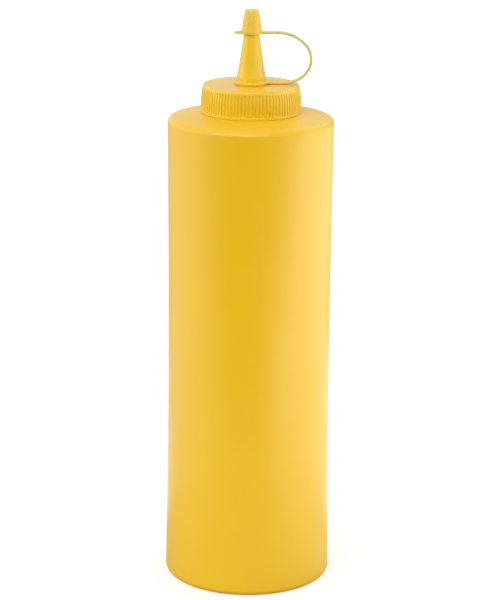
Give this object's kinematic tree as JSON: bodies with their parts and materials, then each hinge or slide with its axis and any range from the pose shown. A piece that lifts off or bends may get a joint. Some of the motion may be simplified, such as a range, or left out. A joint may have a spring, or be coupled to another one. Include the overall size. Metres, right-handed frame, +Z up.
{
  "type": "squeeze bottle",
  "caption": "Tall round plastic squeeze bottle for sauce, with a ribbed screw closure, a conical nozzle and a tip cap held by a looped strap.",
  "frame": {"origin": "centre of the base, on the plane that the bottle stands on", "axes": "+Z up the bottle's axis towards the nozzle, +X the side on which the tether strap loops, +Y completes the right-handed frame"},
  "size_m": [0.0706, 0.0706, 0.2444],
  "materials": {
    "bottle": "soft satin, faintly translucent yellow polyethylene",
    "closure": "glossy moulded yellow polyethylene",
    "tip_cap": "semi-gloss moulded yellow polyethylene, slightly paler"
  },
  "bodies": {
    "root": {"bottle_body": "bottle", "screw_cap": "closure", "tip_cap_tether": "tip_cap"}
  },
  "joints": []
}
